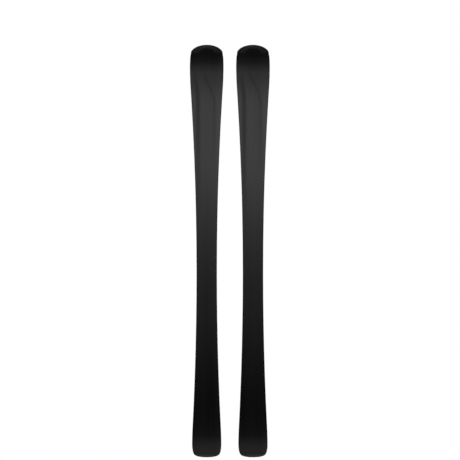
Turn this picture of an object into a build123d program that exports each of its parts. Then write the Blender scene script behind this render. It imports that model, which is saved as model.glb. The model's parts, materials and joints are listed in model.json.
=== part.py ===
from build123d import *
from math import cos, radians, sin
import os

# Pair of alpine skis with system bindings, lying flat on their bases.
# X across, Y along the skis with the tips at +Y, Z up; origin on the floor, in the middle of the pair.

# ---- driving dimensions of the ski (mm, d = distance from the tail end) ----
length = 1600.0
half_len = length / 2
spacing = 179.0
waist_d, waist_half = 718.0, 39.35
rear_radius, front_radius = 11800.0, 11000.0
tail_d, flare_d, taper_d = 52.0, 110.0, 1430.0
shovel_half, shovel_d = 65.15, 1515.0
corner_d = 1567.0
arch_half, arch_rise = 32.0, 19.0

camber = 4.0
camber_from = 78.0 - half_len
rocker_radius, rocker_turn = 1200.0, 5.0
tip_radius, tip_turn = 168.0, 41.0
kick_radius, kick_turn = 420.0, 14.0

edge_width, edge_height = 2.0, 2.0
base_thick, sheet_thick, cover_thick = 1.4, 0.6, 0.8
thin, thick = 7.0, 14.0
sidewall_width, sidewall_slope = 8.0, 0.4
tip_lip = 3.0
tail_depth = 11.0
slant_from, slant_to = 60.0, 1440.0

# ---- driving dimensions of the binding ----
ski_top = camber + thick
rail_top, rail_half = 25.0, 24.0
rail_from, rail_to = -350.0, 140.0
sole_z = 38.0
boot_toe, boot_heel = 88.5, -218.5
wing_x, wing_y, wing_low, wing_high = 17.0, 106.0, 44.0, 64.0
heel_y, heel_z = -252.0, 44.0
lever_y, lever_z = -268.0, 94.0
brake_y, brake_z, brake_x = -190.0, 32.5, 36.5
brake_tilt, brake_wire, brake_reach = 20.0, 2.75, 104.0
fit = 0.08              # radial clearance of a running fit
gap = 0.3               # clearance between moving pieces
screw_head, screw_shank = 4.2, 2.4
rail_screws = [(x, y, rail_top) for y in (-112.0, -45.0, 22.0) for x in (-14.0, 14.0)]
toe_screws = [(x, y, 30.0) for y in (92.0, 164.0) for x in (-27.6, 27.6)]

os.makedirs("parts", exist_ok=True)


# ---- side view: every line is a chain of arcs; camber, then a rockered tip and a kicked tail ----
slope = 0.0118
tip_run = rocker_radius * (sin(radians(rocker_turn) - slope) + slope)
tip_run += tip_radius * (sin(radians(rocker_turn + tip_turn) - slope) - sin(radians(rocker_turn) - slope))
camber_to = half_len - tip_run
camber_mid, camber_span = (camber_to + camber_from) / 2, (camber_to - camber_from) / 2


def on_camber(y):
    """Point (y, z, heading) of the base line between the contact lines."""
    u = (y - camber_mid) / camber_span
    return y, camber * (1 - u * u), -2 * camber * u / camber_span


def on_arc(start, radius, turn):
    """Point reached from a start along an arc that curves upward."""
    y, z, h = start
    end = h + radians(turn)
    return y + radius * (sin(end) - sin(h)), z + radius * (cos(h) - cos(end)), end


def backwards(point):
    y, z, h = point
    return 2 * camber_from - y, z, -h


front_contact = on_camber(camber_to)
rocker_end = on_arc(front_contact, rocker_radius, rocker_turn)
tip_end = on_arc(rocker_end, tip_radius, tip_turn + 5)
kick = [backwards(on_arc((camber_from, 0, -slope), kick_radius, turn)) for turn in (kick_turn, kick_turn / 2)]
rise_from, rise_to = -700.0, camber_to
quarter_rear, quarter_front = (rise_from - 50) / 2, (rise_to - 50) / 2
camber_stops = [camber_from, rise_from, quarter_rear, quarter_front, camber_to]

stations = kick
for y0, y1 in zip(camber_stops, camber_stops[1:]):
    stations += [on_camber(y0), on_camber((y0 + y1) / 2)]
stations += [front_contact, on_arc(front_contact, rocker_radius, rocker_turn / 2), rocker_end]
stations += [on_arc(rocker_end, tip_radius, (tip_turn + 5) / 2), tip_end]


def full_thickness(y):
    """Thin at both ends, thickest under the boot, in smooth quarters."""
    for end, quarter in ((rise_from, quarter_rear), (rise_to, quarter_front)):
        reach = abs(end + 50)
        if (y + 50) * (end + 50) >= 0:
            u = min(abs(y + 50) / reach, 1)
            return thick - 2 * (thick - thin) * u * u if u < 0.5 else thin + 2 * (thick - thin) * (1 - u) ** 2


def side_line(height):
    """Points of the line that lies at a height above the base, square to it."""
    line = []
    for y, z, h in stations:
        up = height(y) if callable(height) else height
        line.append((y - sin(h) * up, z + cos(h) * up))
    return line


def below_top(depth):
    return lambda y: full_thickness(y) - depth


def slab(low, high):
    """Everything between two lines of the side view, across the whole width."""
    with BuildPart() as layer:
        with BuildSketch(Plane.YZ):
            with BuildLine():
                for height in (low, high):
                    line = side_line(height)
                    for i in range(0, len(line) - 2, 2):
                        ThreePointArc(*line[i : i + 3])
                bottom, top = side_line(low), side_line(high)
                Line(bottom[0], top[0])
                Line(bottom[-1], top[-1])
            make_face()
        extrude(amount=90, both=True)
    return layer.part


# ---- plan view: round tail, sidecut of two radii, early taper, round tip ----
def half_width(d):
    """Half width at a distance from the tail: four arcs that run into each other."""
    if d < flare_d:
        return half_width(flare_d) + (waist_d - flare_d) / rear_radius * (flare_d - tail_d) / 2 * (
            1 - ((d - tail_d) / (flare_d - tail_d)) ** 2
        )
    if d <= waist_d:
        return waist_half + (waist_d - d) ** 2 / (2 * rear_radius)
    if d <= taper_d:
        return waist_half + (d - waist_d) ** 2 / (2 * front_radius)
    return shovel_half - (shovel_half - half_width(taper_d)) * ((shovel_d - d) / (shovel_d - taper_d)) ** 2


def side_arcs(stops, inset):
    """Draws the side of the ski as arcs between the stops."""
    for d0, d1 in zip(stops, stops[1:]):
        ThreePointArc(*[(half_width(d) - inset, d - half_len) for d in (d0, (d0 + d1) / 2, d1)])


def plan(inset=0.0):
    """Outline of the ski, drawn inward by an inset."""
    widest = half_width(tail_d)
    shrink = (widest - inset) / widest
    tail_pts = [(0, 0), (20, 1.0), (34, 3.5), (44, 7.6), (50.4, 14.5), (54, 25), (56, 38), (widest, tail_d)]
    tail_pts = [(x * shrink, y + inset * (1 - y / tail_d) - half_len) for x, y in tail_pts]
    tip_pts = [(shovel_half, 85), (64.5, 60), (63.4, 46), (61.9, 37), (61.3, 31.5), (59.8, 26.3), (55, 20), (47, 13.1), (36, 7), (20, 2.1)]
    rounded = [(shovel_half - inset, shovel_d - half_len)]
    for (x0, y0), (x, y), (x1, y1) in zip(tip_pts, tip_pts[1:], tip_pts[2:] + [(0, 0)]):
        run = ((x0 - x1) ** 2 + (y0 - y1) ** 2) ** 0.5
        rounded.append((x - inset * (y0 - y1) / run, half_len - y - inset * (x0 - x1) / run))
    rounded.append((0, half_len - inset))
    with BuildSketch() as outline:
        with BuildLine():
            Spline(tail_pts, tangents=[(1, 0), (0, 1)])
            side_arcs([tail_d, flare_d, waist_d, taper_d, shovel_d], inset)
            Spline(rounded, tangents=[(0, 1), (-1, 0)])
            mirror(about=Plane.YZ)
        make_face()
    return outline.sketch


def middle_plan(inset):
    """The outline over the length that has slanted sidewalls."""
    ends = [(half_width(d) - inset, d - half_len) for d in (slant_from, slant_to)]
    with BuildSketch() as outline:
        with BuildLine():
            side_arcs([slant_from, flare_d, waist_d, taper_d, slant_to], inset)
            Line((0, ends[0][1]), ends[0])
            Line(ends[1], (0, ends[1][1]))
            mirror(about=Plane.YZ)
        make_face()
    return outline.sketch


def keep_between(low_d, high_d):
    """Keeps the part of the sketch between two distances from the tail."""
    with Locations((0, (low_d + high_d) / 2 - half_len)):
        Rectangle(200, high_d - low_d, mode=Mode.INTERSECT)


def arch():
    """Round front end of the running surface, let into the tip piece."""
    y = corner_d - half_len
    with BuildSketch() as front:
        with BuildLine():
            rise = ThreePointArc((-arch_half, y), (0, y + arch_rise), (arch_half, y))
            Line(rise @ 0, rise @ 1)
        make_face()
    return front.sketch


with BuildSketch() as base_plan:
    add(plan(edge_width))
    keep_between(tail_depth, corner_d)
    add(arch())

with BuildSketch() as tip_plan:
    add(plan())
    keep_between(corner_d, length + 1)
    add(arch(), mode=Mode.SUBTRACT)

with BuildSketch() as lip_plan:
    add(plan())
    add(plan(tip_lip), mode=Mode.SUBTRACT)
    keep_between(corner_d + 4, length + 1)

# ---- the body above the edges: slanted along the middle, upright at tip and tail ----
with BuildPart() as envelope:
    with BuildSketch(Plane.XY.offset(1)):
        add(middle_plan(0.0))
    with BuildSketch(Plane.XY.offset(26)):
        add(middle_plan(25 * sidewall_slope))
    loft()
    with BuildSketch(Plane.XY.offset(-2)):
        add(plan(0.8))
        keep_between(tail_depth, slant_from)
    extrude(amount=80)
    with BuildSketch(Plane.XY.offset(-2)):
        add(plan(0.8))
        keep_between(slant_to, corner_d + 4)
    extrude(amount=80)
    with BuildSketch(Plane.XY.offset(-2)):
        add(plan(tip_lip))
        keep_between(corner_d + 4, length + 1)
    extrude(amount=80)

under_top = slab(-30, full_thickness)

# ---- the ski, from the base up ----
with BuildPart() as running_base:
    with BuildSketch(Plane.XY.offset(-2)):
        add(base_plan.sketch)
    extrude(amount=80)
    add(slab(0, base_thick), mode=Mode.INTERSECT)

with BuildPart() as steel_edges:
    with BuildSketch(Plane.XY.offset(-2)):
        add(plan())
        add(plan(edge_width), mode=Mode.SUBTRACT)
        keep_between(tail_depth, corner_d)
    extrude(amount=80)
    add(slab(0, edge_height), mode=Mode.INTERSECT)

with BuildPart() as tip_under:
    with BuildSketch(Plane.XY.offset(-2)):
        add(tip_plan.sketch)
    extrude(amount=80)
    add(slab(0, edge_height), mode=Mode.INTERSECT)
with BuildPart() as tip_lip_body:
    with BuildSketch(Plane.XY.offset(-2)):
        add(lip_plan.sketch)
    extrude(amount=80)
    add(slab(0, full_thickness), mode=Mode.INTERSECT)
with BuildPart() as tip_insert:
    add(tip_under.part)
    add(tip_lip_body.part)

with BuildPart() as tail_protector:
    with BuildSketch(Plane.XY.offset(-2)):
        add(plan())
        keep_between(-1, tail_depth)
    extrude(amount=80)
    add(slab(0, full_thickness), mode=Mode.INTERSECT)

with BuildPart() as screw_holes:
    for x, y, z in rail_screws + toe_screws:
        with Locations((x, y, z - 8.5)):
            Cylinder(screw_shank, 17)

with BuildPart() as sidewalls:
    with BuildSketch(Plane.XY.offset(-2)):
        add(middle_plan(-1))
        add(middle_plan(sidewall_width), mode=Mode.SUBTRACT)
    extrude(amount=80)
    add(envelope.part, mode=Mode.INTERSECT)
    add(slab(edge_height, below_top(cover_thick + sheet_thick)), mode=Mode.INTERSECT)

with BuildPart() as wood_core:
    add(slab(edge_height, below_top(cover_thick + sheet_thick)))
    add(envelope.part, mode=Mode.INTERSECT)
    add(sidewalls.part, mode=Mode.SUBTRACT)
    add(screw_holes.part, mode=Mode.SUBTRACT)

with BuildPart() as lower_sheet:
    with BuildSketch(Plane.XY.offset(-2)):
        add(base_plan.sketch)
    extrude(amount=80)
    add(slab(base_thick, edge_height), mode=Mode.INTERSECT)
with BuildPart() as laminates:
    add(slab(below_top(cover_thick + sheet_thick), below_top(cover_thick)))
    add(envelope.part, mode=Mode.INTERSECT)
    add(screw_holes.part, mode=Mode.SUBTRACT)
    add(lower_sheet.part)

with BuildPart() as top_sheet:
    add(slab(below_top(cover_thick), full_thickness))
    add(envelope.part, mode=Mode.INTERSECT)
    add(screw_holes.part, mode=Mode.SUBTRACT)

# ---- rail plate, its grooves guide the heel ----
rail_mid, rail_long = (rail_from + rail_to) / 2, rail_to - rail_from
with BuildPart() as binding_rail:
    with BuildSketch(Plane.XY.offset(12)):
        with Locations((0, rail_mid)):
            RectangleRounded(2 * rail_half, rail_long, 9)
    extrude(amount=rail_top - 12)
    chamfer(binding_rail.faces().sort_by(Axis.Z)[-1].edges(), 0.8)
    with Locations((-rail_half, rail_mid, 21.75), (rail_half, rail_mid, 21.75)):
        Box(4, rail_long + 2, 2.3, mode=Mode.SUBTRACT)
    with BuildSketch(Plane.XY.offset(rail_top)):
        with Locations((0, -79), (0, -11)):
            SlotCenterToCenter(26, 9, rotation=90)
    extrude(amount=-2.5, mode=Mode.SUBTRACT)
    with Locations(*rail_screws):
        CounterSinkHole(screw_shank, screw_head, counter_sink_angle=90)
    add(under_top, mode=Mode.SUBTRACT)


def screw_at(x, y, z):
    """Countersunk screw with a cross recess, its head flush with height z."""
    with BuildPart() as screw:
        sink = screw_head - screw_shank
        with Locations((x, y, z - sink / 2)):
            Cone(screw_shank, screw_head, sink)
        with Locations((x, y, z - 9.0)):
            Cylinder(screw_shank, 16)
        with Locations((x, y, z)):
            Box(4.6, 1.1, 2.4, mode=Mode.SUBTRACT)
            Box(1.1, 4.6, 2.4, mode=Mode.SUBTRACT)
    return screw.part


screws = [screw_at(*spot) for spot in rail_screws + toe_screws]
with BuildPart() as mounting_screws:
    for screw in screws:
        add(screw)

# ---- toe piece ----
with BuildPart() as toe_base:
    with BuildSketch(Plane.XY.offset(12)):
        with Locations((0, 106)):
            RectangleRounded(64, 134, 9)
    extrude(amount=18)
    chamfer(toe_base.faces().sort_by(Axis.Z)[-1].edges(), 1.0)
    with Locations((0, 64, 31.5)):
        Box(60, 8, 6)
    with Locations(*toe_screws):
        CounterSinkHole(screw_shank, screw_head, counter_sink_angle=90)
    with BuildSketch(Plane.XY.offset(10)):
        with Locations((0, rail_mid)):
            RectangleRounded(2 * rail_half, rail_long, 9)
    extrude(amount=rail_top - 10, mode=Mode.SUBTRACT)
    add(under_top, mode=Mode.SUBTRACT)

with BuildPart() as afd_plate:
    with BuildSketch(Plane.XY.offset(30 + gap)):
        with Locations((0, 64)):
            RectangleRounded(60, 38, 7)
    extrude(amount=sole_z - 30 - gap)
    chamfer(afd_plate.faces().sort_by(Axis.Z)[-1].edges(), 1.2)
    with Locations((0, 64, 31.4)):
        Box(64, 8 + 2 * gap, 6.8, mode=Mode.SUBTRACT)

housing_side = [(98, 30), (168, 30), (173, 40), (168, 58), (150, 70), (114, 75), (98, 72)]
with BuildPart() as toe_housing:
    with BuildSketch(Plane.YZ):
        with BuildLine():
            FilletPolyline(*[Vector(y, z) for y, z in housing_side], radius=4, close=True)
        make_face()
    extrude(amount=25, both=True)
    with BuildSketch(Plane.XY.offset(80)):
        with BuildLine():
            Polyline((25, 120), (16, 175), (32, 175), (32, 120), close=True)
        make_face()
        mirror(about=Plane.YZ)
    extrude(amount=-60, mode=Mode.SUBTRACT)
    with Locations((0, 108, (wing_low + wing_high) / 2)):
        Box(60, 26, wing_high - wing_low + 2 * gap, mode=Mode.SUBTRACT)
    with BuildSketch(Plane(origin=(0, 176, 47), x_dir=(-1, 0, 0), z_dir=(0, 1, 0))):
        Circle(9)
    extrude(amount=-48, mode=Mode.SUBTRACT)
    with Locations((-wing_x, wing_y, 56), (wing_x, wing_y, 56)):
        Cylinder(3, 40, mode=Mode.SUBTRACT)
    with BuildSketch(Plane.XY.offset(76)):
        with Locations((0, 137)):
            SlotCenterToCenter(14, 7, rotation=90)
    extrude(amount=-5, mode=Mode.SUBTRACT)

with BuildPart() as toe_pins:
    with Locations((-wing_x, wing_y, 55), (wing_x, wing_y, 55)):
        Cylinder(3, 38)

wing_wall = [(12, 111), (24, 112), (33, 101), (36.6, 88), (37, 74), (31.8, 73), (29.5, 86), (16, 97)]
wing_lip = [(31.8, 73), (24.5, 78), (18, 91), (16, 97), (29.5, 86)]
with BuildPart() as toe_wing_right:
    with BuildSketch(Plane.XY.offset(wing_low)):
        with BuildLine():
            FilletPolyline(*[Vector(x, y) for x, y in wing_wall], radius=1.8, close=True)
        make_face()
        with Locations((wing_x, wing_y)):
            Circle(8)
    extrude(amount=wing_high - wing_low)
    with BuildSketch(Plane.XY.offset(58.3)):
        with BuildLine():
            Polyline(*wing_lip, close=True)
        make_face()
    extrude(amount=wing_high - 58.3)
    with Locations((wing_x, wing_y, 54)):
        Cylinder(3 + fit, 30, mode=Mode.SUBTRACT)
with BuildPart() as toe_wing_left:
    add(mirror(toe_wing_right.part, about=Plane.YZ, mode=Mode.PRIVATE))

toe_axis = Plane(origin=(0, 128, 47), x_dir=(-1, 0, 0), z_dir=(0, 1, 0))
with BuildPart() as toe_spring:
    with BuildSketch(toe_axis):
        Circle(8.6)
        Circle(6, mode=Mode.SUBTRACT)
    extrude(amount=30)
with BuildPart() as toe_adjuster:
    with BuildSketch(toe_axis.offset(30 + gap)):
        Circle(8.6)
    extrude(amount=13.5)
    chamfer(toe_adjuster.edges().group_by(Axis.Y)[-1], 0.8)
    with BuildSketch(toe_axis.offset(30 + gap + 13.5)):
        Rectangle(11, 2.4)
    extrude(amount=-3, mode=Mode.SUBTRACT)

# ---- heel base: slides on the rail, carries the heel axle and the brake's bearings ----
with BuildPart() as heel_carriage:
    with BuildSketch(Plane.XY.offset(19)):
        with Locations((0, -232)):
            RectangleRounded(62, 168, 8)
    extrude(amount=9)
    with BuildSketch(Plane.XY.offset(28)):
        with Locations((0, -264)):
            RectangleRounded(60, 100, 7)
    extrude(amount=3)
    with Locations((0, -232, 22.15)):
        Box(2 * (rail_half + gap), 170, 6.3, mode=Mode.SUBTRACT)
    with Locations((-23.5, -232, 21.75), (23.5, -232, 21.75)):
        Box(2.4, 150, 1.7)
    for x in (-25.2, 25.2):
        with BuildSketch(Plane.YZ.offset(x)):
            with BuildLine():
                Polyline((heel_y - 16, 30), (heel_y - 7.5, 47), (heel_y + 7.5, 47), (heel_y + 16, 30), close=True)
            make_face()
            with Locations((heel_y, heel_z)):
                Circle(8)
        extrude(amount=2.8, both=True)
    with Locations((-27.3, brake_y, 32), (27.3, brake_y, 32)):
        Box(4.6, 15, 10.6)
    with Locations(Location((0, heel_y, heel_z), (0, 90, 0))):
        Cylinder(4 + fit, 80, mode=Mode.SUBTRACT)
    with Locations(Location((0, brake_y, brake_z), (0, 90, 0))):
        Cylinder(3.5 + fit, 80, mode=Mode.SUBTRACT)
    with Locations((0, -311, 30)):
        Box(20 + 2 * gap, 14, 12, mode=Mode.SUBTRACT)
    with Locations(Location((0, -309, 28), (0, 90, 0))):
        Cylinder(1.6, 30)

catch_side = [(-309.5, 26), (-306.2, 28.2), (-306.2, 31), (-316, 31), (-334, 34), (-335, 30.5), (-318, 26)]
with BuildPart() as track_lock_lever:
    with BuildSketch(Plane.YZ):
        with BuildLine():
            FilletPolyline(
                *[Vector(y, z) for y, z in catch_side],
                radius=0.9,
                close=True,
            )
        make_face()
    extrude(amount=10, both=True)
    with Locations(Location((0, -309, 28), (0, 90, 0))):
        Cylinder(1.6 + fit, 40, mode=Mode.SUBTRACT)

# ---- heel piece ----
heel_side = [
    (-259, 36), (-209, 33.5), (-209, 37), (-222, 38), (-222, 69), (-207, 69), (-207, 75), (-216, 85), (-238, 94),
    (-264, 100), (-292, 104), (-300, 98), (-300, 76), (-264, 46),
]
with BuildPart() as heel_housing:
    with BuildSketch(Plane.YZ):
        with BuildLine():
            Polyline(*heel_side, close=True)
        make_face()
    extrude(amount=26, both=True)
    long_edges = heel_housing.edges().filter_by(Axis.X)
    chamfer([e for e in long_edges if e.center().Z > 90], 2.0)
    with Locations((-27, heel_y, 40), (27, heel_y, 40)):
        Box(10, 110, 32, mode=Mode.SUBTRACT)
    with Locations((0, -181, 53.5)):
        Cylinder(43, 31, mode=Mode.SUBTRACT)
    with BuildSketch(Plane(origin=(0, -302, 87), x_dir=(1, 0, 0), z_dir=(0, -1, 0))):
        Circle(9)
    extrude(amount=-46, mode=Mode.SUBTRACT)
    with Locations(Location((0, heel_y, heel_z), (0, 90, 0))):
        Cylinder(4, 60, mode=Mode.SUBTRACT)
    with Locations(Location((0, lever_y, lever_z), (0, 90, 0))):
        Cylinder(3, 60, mode=Mode.SUBTRACT)

with BuildPart() as heel_pins:
    with Locations(Location((0, heel_y, heel_z), (0, 90, 0))):
        Cylinder(4, 58)
    with Locations(Location((-21.6, lever_y, lever_z), (0, 90, 0)), Location((21.6, lever_y, lever_z), (0, 90, 0))):
        Cylinder(3, 15)

heel_axis = Plane(origin=(0, -256, 87), x_dir=(1, 0, 0), z_dir=(0, -1, 0))
with BuildPart() as heel_spring:
    with BuildSketch(heel_axis):
        Circle(8.6)
        Circle(6, mode=Mode.SUBTRACT)
    extrude(amount=34)
with BuildPart() as heel_adjuster:
    with BuildSketch(heel_axis.offset(34 + gap)):
        Circle(8.6)
    extrude(amount=11)
    chamfer(heel_adjuster.edges().group_by(Axis.Y)[0], 0.8)
    with BuildSketch(heel_axis.offset(34 + gap + 11)):
        Rectangle(11, 2.4)
    extrude(amount=-3, mode=Mode.SUBTRACT)

lever_side = [(-262, 101), (-300, 112), (-342, 130), (-350, 124), (-346, 114), (-306, 98), (-270, 86), (-261, 88)]
with BuildPart() as heel_lever:
    with BuildSketch(Plane.YZ):
        with BuildLine():
            FilletPolyline(*[Vector(y, z) for y, z in lever_side], radius=3, close=True)
        make_face()
    extrude(amount=29.5, both=True)
    with Locations((0, -284, 108)):
        Box(2 * (26 + gap), 50, 60, mode=Mode.SUBTRACT)
    with BuildSketch(Plane.XY.offset(140)):
        with Locations((0, -335)):
            SlotCenterToCenter(26, 8)
    extrude(amount=-60, mode=Mode.SUBTRACT)
    with Locations(Location((0, lever_y, lever_z), (0, 90, 0))):
        Cylinder(3 + fit, 70, mode=Mode.SUBTRACT)

# ---- brake: pedal with cross tube, and two wires that splay on pins at its ends ----
tilt = radians(brake_tilt)


def splay_plane(side):
    return Plane(origin=(side * brake_x, brake_y, brake_z), x_dir=(1, 0, 0), z_dir=(0, sin(tilt), cos(tilt)))


def wire_side_plane(side):
    return Plane(origin=(side * brake_x, brake_y, brake_z), x_dir=(0, -cos(tilt), sin(tilt)), z_dir=(1, 0, 0))


with BuildPart() as brake_pedal:
    with Locations(Location((0, brake_y, brake_z), (0, 90, 0))):
        Cylinder(3.5, 2 * 31.6)
    with BuildSketch(Plane.XY.offset(33.4)):
        with Locations((0, -163.5)):
            RectangleRounded(48, 58, 6)
    extrude(amount=sole_z - 33.4)
    chamfer(brake_pedal.faces().sort_by(Axis.Z)[-1].edges(), 0.8)
    for side in (-1, 1):
        for low in (3.05, -4.6):
            with BuildSketch(splay_plane(side).offset(low)):
                Circle(brake_wire)
                with Locations((-side * 2.6, 0)):
                    Rectangle(5.2, 2 * brake_wire)
            extrude(amount=1.55)
        with BuildSketch(splay_plane(side).offset(-4.6)):
            with Locations((-side * 4.35, 0)):
                Rectangle(1.7, 2 * brake_wire)
        extrude(amount=9.2)
        with BuildSketch(splay_plane(side).offset(-4)):
            Circle(1.2)
        extrude(amount=8)


def brake_arm(side):
    with BuildPart() as arm:
        with BuildSketch(splay_plane(side).offset(-brake_wire)):
            Circle(brake_wire)
        extrude(amount=2 * brake_wire)
        with BuildSketch(Plane(splay_plane(side).origin, x_dir=(1, 0, 0), z_dir=(0, -cos(tilt), sin(tilt)))):
            Circle(brake_wire)
        extrude(amount=brake_reach)
        with BuildSketch(splay_plane(side).offset(-4)):
            Circle(1.2 + fit)
        extrude(amount=8, mode=Mode.SUBTRACT)
    return arm.part


foot_side = [(80, -4.5), (86, -6.5), (112, -8), (120, -2), (117, 6), (100, 7.5), (82, 5)]


def brake_foot(side, arm):
    with BuildPart() as foot:
        with BuildSketch(wire_side_plane(side)):
            with BuildLine():
                FilletPolyline(*[Vector(u, v) for u, v in foot_side], radius=2, close=True)
            make_face()
        extrude(amount=3.2, both=True)
        chamfer(foot.faces().sort_by(Axis.X)[0].edges() + foot.faces().sort_by(Axis.X)[-1].edges(), 0.35)
        add(arm, mode=Mode.SUBTRACT)
    return foot.part


brake_arm_left, brake_arm_right = brake_arm(-1), brake_arm(1)
brake_foot_left, brake_foot_right = brake_foot(-1, brake_arm_left), brake_foot(1, brake_arm_right)

# ---- both skis are the same; each piece is labelled and written at its place in the pair ----
pieces = {
    "running_base": running_base.part,
    "steel_edges": steel_edges.part,
    "laminates": laminates.part,
    "wood_core": wood_core.part,
    "sidewalls": sidewalls.part,
    "top_sheet": top_sheet.part,
    "tip_insert": tip_insert.part,
    "tail_protector": tail_protector.part,
    "binding_rail": binding_rail.part,
    "mounting_screws": mounting_screws.part,
    "toe_base": toe_base.part,
    "toe_housing": toe_housing.part,
    "toe_wing_left": toe_wing_left.part,
    "toe_wing_right": toe_wing_right.part,
    "toe_pins": toe_pins.part,
    "toe_spring": toe_spring.part,
    "toe_adjuster": toe_adjuster.part,
    "afd_plate": afd_plate.part,
    "heel_carriage": heel_carriage.part,
    "track_lock_lever": track_lock_lever.part,
    "heel_housing": heel_housing.part,
    "heel_pins": heel_pins.part,
    "heel_spring": heel_spring.part,
    "heel_adjuster": heel_adjuster.part,
    "heel_lever": heel_lever.part,
    "brake_pedal": brake_pedal.part,
    "brake_arm_left": brake_arm_left,
    "brake_arm_right": brake_arm_right,
    "brake_foot_left": brake_foot_left,
    "brake_foot_right": brake_foot_right,
}
for ski, x in (("left", -spacing / 2), ("right", spacing / 2)):
    for name, piece in pieces.items():
        placed = piece.moved(Location((x, 0, 0)))
        placed.label = f"{ski}_{name}"
        export_step(placed, f"parts/{ski}_{name}.step")
        if ski == "left":
            box = piece.bounding_box()
            print(f"{name:18s} solids {len(piece.solids())} volume {piece.volume:10.1f}", box.min, box.max)
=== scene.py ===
import bpy
import bmesh
import json
from math import pi, radians
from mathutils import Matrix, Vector


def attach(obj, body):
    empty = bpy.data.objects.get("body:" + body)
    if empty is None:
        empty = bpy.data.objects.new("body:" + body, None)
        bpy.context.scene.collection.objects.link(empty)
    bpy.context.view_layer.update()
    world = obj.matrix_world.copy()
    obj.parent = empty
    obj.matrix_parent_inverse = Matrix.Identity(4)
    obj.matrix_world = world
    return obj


# A pair of alpine skis lying on their running bases. The camera looks up at the bases from below, tips up.
# Y runs along the skis towards the tips, Z is up, X goes across to the right ski.

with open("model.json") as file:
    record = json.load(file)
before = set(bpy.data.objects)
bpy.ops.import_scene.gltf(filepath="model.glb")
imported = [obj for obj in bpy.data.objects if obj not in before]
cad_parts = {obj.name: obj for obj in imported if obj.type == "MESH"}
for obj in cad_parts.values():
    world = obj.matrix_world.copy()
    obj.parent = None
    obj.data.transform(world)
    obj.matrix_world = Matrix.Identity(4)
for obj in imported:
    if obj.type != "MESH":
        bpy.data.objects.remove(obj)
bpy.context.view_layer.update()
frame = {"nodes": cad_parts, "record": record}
SKIS = {"left": -0.0895, "right": 0.0895}
PAIR = SKIS["right"] - SKIS["left"]

scene = bpy.context.scene
scene.view_settings.view_transform = "Standard"
scene.view_settings.look = "None"


# ------------------------------------------------------------------ camera
VIEW_WIDTH = 1.77928    # metres seen across the view at the bases
LENS, SENSOR = 200, 36  # millimetres: a long lens, so that the skis' sides stay true
lens_cam = bpy.data.cameras.new("base_camera")
lens_cam.lens = LENS
lens_cam.sensor_width = SENSOR
away = VIEW_WIDTH * LENS / SENSOR
camera = bpy.data.objects.new("base_camera", lens_cam)
scene.collection.objects.link(camera)
camera.location = (-0.0006, 0.0798, -away)
camera.rotation_euler = (0, pi, 0)
lens_cam.clip_end = 100
scene.camera = camera


# ------------------------------------------------------------------ node helpers
def feed(tree, socket, value):
    """Links another node's output to a socket, or sets a constant on it."""
    if isinstance(value, bpy.types.NodeSocket):
        tree.links.new(value, socket)
    else:
        socket.default_value = value


def node(tree, kind, sockets=None, **settings):
    """Adds a node; sockets holds its inputs by name or number, linked when the value is another socket."""
    made = tree.nodes.new(kind)
    for key, value in settings.items():
        setattr(made, key, value)
    for key, value in (sockets or {}).items():
        feed(tree, made.inputs[key], value)
    return made


def math_node(tree, operation, a, b=0.0, clamp=False):
    return node(tree, "ShaderNodeMath", {0: a, 1: b}, operation=operation, use_clamp=clamp).outputs[0]


def plus(tree, a, b, clamp=False):
    return math_node(tree, "ADD", a, b, clamp)


def minus(tree, a, b):
    return math_node(tree, "SUBTRACT", a, b)


def times(tree, a, b, clamp=False):
    return math_node(tree, "MULTIPLY", a, b, clamp)


def spread(tree, value, low, high, to_low=0.0, to_high=1.0):
    sockets = {"Value": value, "From Min": low, "From Max": high, "To Min": to_low, "To Max": to_high}
    return node(tree, "ShaderNodeMapRange", sockets).outputs["Result"]


def blend_colour(tree, factor, a, b):
    made = node(tree, "ShaderNodeMix", data_type="RGBA")
    for number, value in ((0, factor), (6, a), (7, b)):
        feed(tree, made.inputs[number], value)
    return made.outputs[2]


def noise(tree, vector, scale, detail, **more):
    sockets = {"Vector": vector, "Scale": scale, "Detail": detail, **more}
    return node(tree, "ShaderNodeTexNoise", sockets).outputs["Fac"]


def stretched(tree, vector, x, y, z, turn=0.0):
    sockets = {"Vector": vector, "Rotation": (0, 0, turn), "Scale": (x, y, z)}
    return node(tree, "ShaderNodeMapping", sockets).outputs["Vector"]


def new_effect(name, takes, gives):
    """A shader node group with named inputs and outputs."""
    tree = bpy.data.node_groups.new(name, "ShaderNodeTree")
    for label, kind, value in takes:
        socket = tree.interface.new_socket(label, in_out="INPUT", socket_type=kind)
        if value is not None:
            socket.default_value = value
    for label, kind in gives:
        tree.interface.new_socket(label, in_out="OUTPUT", socket_type=kind)
    return tree, node(tree, "NodeGroupInput").outputs, node(tree, "NodeGroupOutput").inputs


VEC, NUM = "NodeSocketVector", "NodeSocketFloat"

# rounded-looking edges, and a mask of where they are
soft_edges, takes, gives = new_effect("soft edges", [("Radius", NUM, 0.0006)], [("Normal", VEC), ("Edge", NUM)])
rounded = node(soft_edges, "ShaderNodeBevel", {"Radius": takes["Radius"]}, samples=4).outputs["Normal"]
flat_normal = node(soft_edges, "ShaderNodeNewGeometry").outputs["Normal"]
facing = node(
    soft_edges, "ShaderNodeVectorMath", {0: rounded, 1: flat_normal}, operation="DOT_PRODUCT"
).outputs["Value"]
soft_edges.links.new(rounded, gives["Normal"])
soft_edges.links.new(spread(soft_edges, facing, 0.999, 0.86), gives["Edge"])

# broken-up rub marks along the edges
rub, takes, gives = new_effect(
    "edge rub",
    [("Vector", VEC, None), ("Edge", NUM, 0.0), ("Scale", NUM, 120.0), ("Amount", NUM, 0.5)],
    [("Mask", NUM)],
)
broken = noise(rub, takes["Vector"], takes["Scale"], 5.0)
patchy = spread(rub, broken, 0.42, 0.62)
rub.links.new(times(rub, times(rub, takes["Edge"], patchy), takes["Amount"]), gives["Mask"])

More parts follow.
